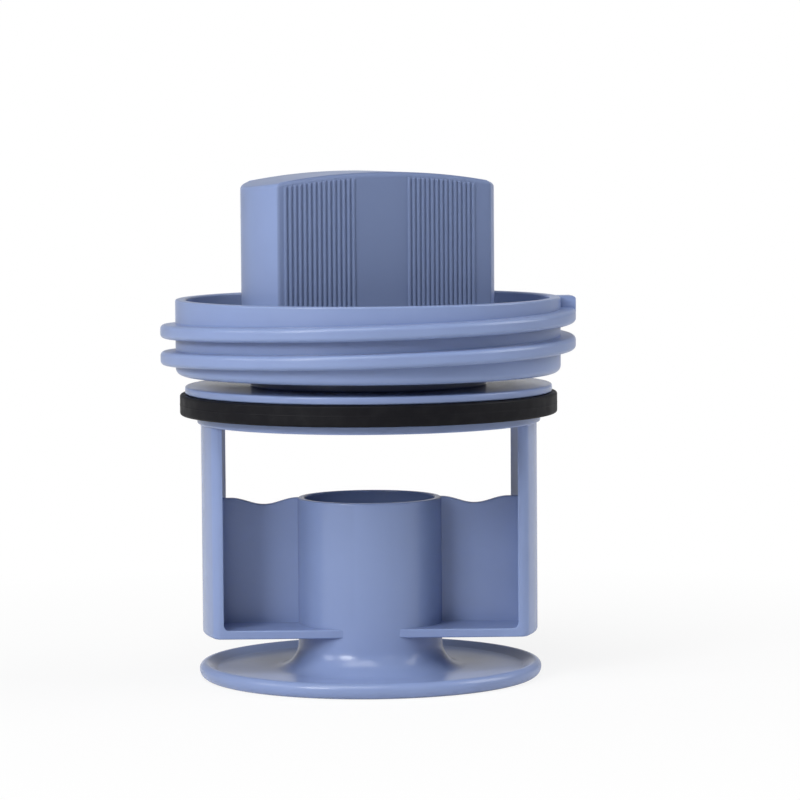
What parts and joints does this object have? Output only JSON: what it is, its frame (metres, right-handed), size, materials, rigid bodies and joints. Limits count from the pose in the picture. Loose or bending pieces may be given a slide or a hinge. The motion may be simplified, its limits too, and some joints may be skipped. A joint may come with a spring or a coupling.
{
  "type": "drain pump filter cover",
  "caption": "Screw-in drain pump filter: ribbed grip cap with a coarse thread, rubber ring, and an insert with two legs, a centre tube and a saucer.",
  "frame": {"origin": "centre of the saucer's flat underside, on the thread's axis", "axes": "+Z along the thread's axis towards the grip; the two legs stand on the X axis; Y is the way through the window between the legs"},
  "size_m": [0.0701, 0.0701, 0.0854],
  "materials": {
    "insert_plastic": "glossy moulded plastic, pale steel blue",
    "cap_plastic": "satin moulded plastic, pale steel blue, fine ribs on the grip",
    "seal_rubber": "smooth matt black rubber"
  },
  "bodies": {
    "insert": {"filter_insert": "insert_plastic", "sealing_ring": "seal_rubber"},
    "cap": {"screw_cap": "cap_plastic"}
  },
  "joints": [
    {"name": "cap_turn", "type": "hinge", "parent": "insert", "child": "cap", "pos_m": [0, 0, 0.04915], "axis": [0, 0, 1], "continuous": true}
  ]
}
